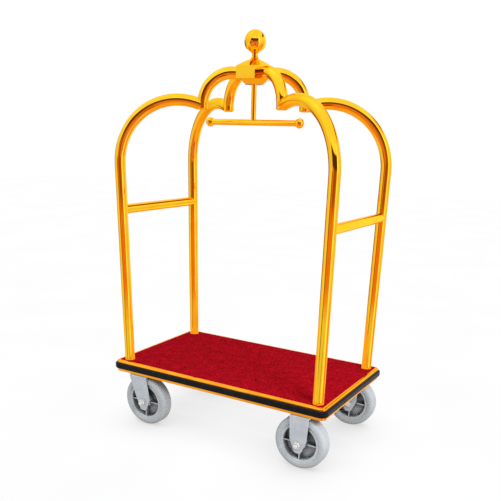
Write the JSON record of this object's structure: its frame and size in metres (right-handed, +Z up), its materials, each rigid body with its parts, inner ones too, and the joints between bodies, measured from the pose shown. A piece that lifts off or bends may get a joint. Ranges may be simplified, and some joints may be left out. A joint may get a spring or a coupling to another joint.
{
  "type": "hotel luggage cart",
  "caption": "Birdcage luggage trolley: carpeted deck with a rubber bumper, arched tube posts, a crown with finial and garment bar, swivel and fixed casters.",
  "frame": {"origin": "on the floor under the middle of the deck", "axes": "+X along the deck towards the fixed casters, +Y across the deck towards the rear, +Z up"},
  "size_m": [1.176, 0.718, 1.778],
  "materials": {
    "gold": "mirror-polished gold tone",
    "black_rubber": "smooth extruded",
    "red_carpet": "cut pile",
    "plywood": "sanded plywood",
    "black_paint": "powder coat",
    "zinc": "bright zinc plated",
    "steel": "ground steel",
    "grey_paint": "satin grey",
    "grey_tyre": "smooth non-marking",
    "grey_plastic": "moulded satin",
    "bushing_plastic": "machined"
  },
  "bodies": {
    "cart": {"arm_end_caps": "gold", "board_screws": "zinc", "bumper": "black_rubber", "caster_beam": "black_paint", "caster_bolts": "zinc", "caster_nuts": "zinc", "cross_bar_left": "gold", "cross_bar_right": "gold", "crown_arm_front_left": "gold", "crown_arm_front_right": "gold", "crown_arm_rear_left": "gold", "crown_arm_rear_right": "gold", "deck_board": "plywood", "deck_carpet": "red_carpet", "edge_channel": "gold", "finial": "gold", "fixed_axle_bolts": "zinc", "fixed_axle_nuts": "zinc", "fixed_axle_sleeves": "steel", "fixed_fork_front": "grey_paint", "fixed_fork_rear": "grey_paint", "foot_plugs": "zinc", "frame_rail_front": "black_paint", "frame_rail_rear": "black_paint", "garment_bar": "gold", "garment_bar_balls": "gold", "garment_rod": "gold", "hub_block": "gold", "hub_collar": "gold", "hub_roof": "gold", "hub_stud": "zinc", "kingpins": "zinc", "post_bolts": "zinc", "post_front_left": "gold", "post_front_right": "gold", "post_rear_left": "gold", "post_rear_right": "gold", "swivel_balls": "steel", "swivel_plate_front": "grey_paint", "swivel_plate_rear": "grey_paint"},
    "swivel_caster_front": {"swivel_fork_front": "grey_paint", "swivel_axle_bolt_front": "zinc", "swivel_axle_nut_front": "zinc", "swivel_axle_sleeve_front": "steel"},
    "swivel_caster_rear": {"swivel_fork_rear": "grey_paint", "swivel_axle_bolt_rear": "zinc", "swivel_axle_nut_rear": "zinc", "swivel_axle_sleeve_rear": "steel"},
    "wheel_swivel_front": {"tyre_swivel_front": "grey_tyre", "wheel_core_swivel_front": "grey_plastic", "wheel_bushing_swivel_front": "bushing_plastic"},
    "wheel_swivel_rear": {"tyre_swivel_rear": "grey_tyre", "wheel_core_swivel_rear": "grey_plastic", "wheel_bushing_swivel_rear": "bushing_plastic"},
    "wheel_fixed_front": {"tyre_fixed_front": "grey_tyre", "wheel_core_fixed_front": "grey_plastic", "wheel_bushing_fixed_front": "bushing_plastic"},
    "wheel_fixed_rear": {"tyre_fixed_rear": "grey_tyre", "wheel_core_fixed_rear": "grey_plastic", "wheel_bushing_fixed_rear": "bushing_plastic"}
  },
  "joints": [
    {"name": "swivel_front", "type": "hinge", "parent": "cart", "child": "swivel_caster_front", "pos_m": [-0.45, -0.287, 0.26], "axis": [0, 0, 1], "continuous": true},
    {"name": "swivel_rear", "type": "hinge", "parent": "cart", "child": "swivel_caster_rear", "pos_m": [-0.45, 0.287, 0.26], "axis": [0, 0, 1], "continuous": true},
    {"name": "wheel_swivel_front_spin", "type": "hinge", "parent": "swivel_caster_front", "child": "wheel_swivel_front", "pos_m": [-0.408, -0.287, 0.125], "axis": [0, 1, 0], "continuous": true},
    {"name": "wheel_swivel_rear_spin", "type": "hinge", "parent": "swivel_caster_rear", "child": "wheel_swivel_rear", "pos_m": [-0.408, 0.287, 0.125], "axis": [0, 1, 0], "continuous": true},
    {"name": "wheel_fixed_front_spin", "type": "hinge", "parent": "cart", "child": "wheel_fixed_front", "pos_m": [0.463, -0.287, 0.125], "axis": [0, 1, 0], "continuous": true},
    {"name": "wheel_fixed_rear_spin", "type": "hinge", "parent": "cart", "child": "wheel_fixed_rear", "pos_m": [0.463, 0.287, 0.125], "axis": [0, 1, 0], "continuous": true}
  ]
}
